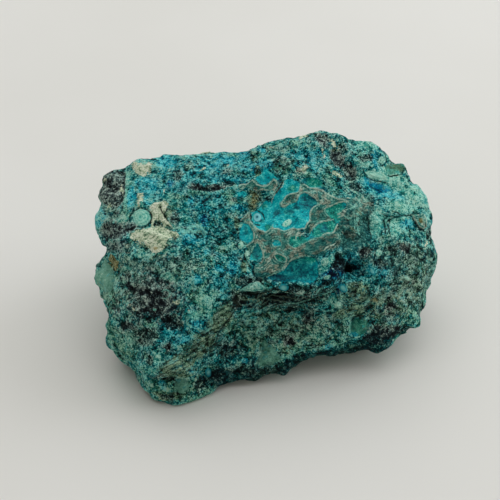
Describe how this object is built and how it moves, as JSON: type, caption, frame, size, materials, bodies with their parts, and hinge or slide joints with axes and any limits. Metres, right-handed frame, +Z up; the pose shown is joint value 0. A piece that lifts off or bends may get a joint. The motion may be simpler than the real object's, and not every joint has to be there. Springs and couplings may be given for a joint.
{
  "type": "chrysocolla specimen",
  "caption": "Palm-sized broken lump of copper rock with a sloping blue-green crusted top, a stepped front with an overhanging brow, and a flat sole to rest on.",
  "frame": {"origin": "under the middle of the stone's box, on the surface that it stands on", "axes": "+X along the longest side, +Z up, -Y towards the show side with the crusted slope and the foot"},
  "size_m": [0.0944, 0.0703, 0.0497],
  "materials": {
    "stone": "rough granular rock in blue-green, mint and near-black, with glassy blue-green crust in places"
  },
  "bodies": {
    "root": {"stone": "stone"}
  },
  "joints": []
}
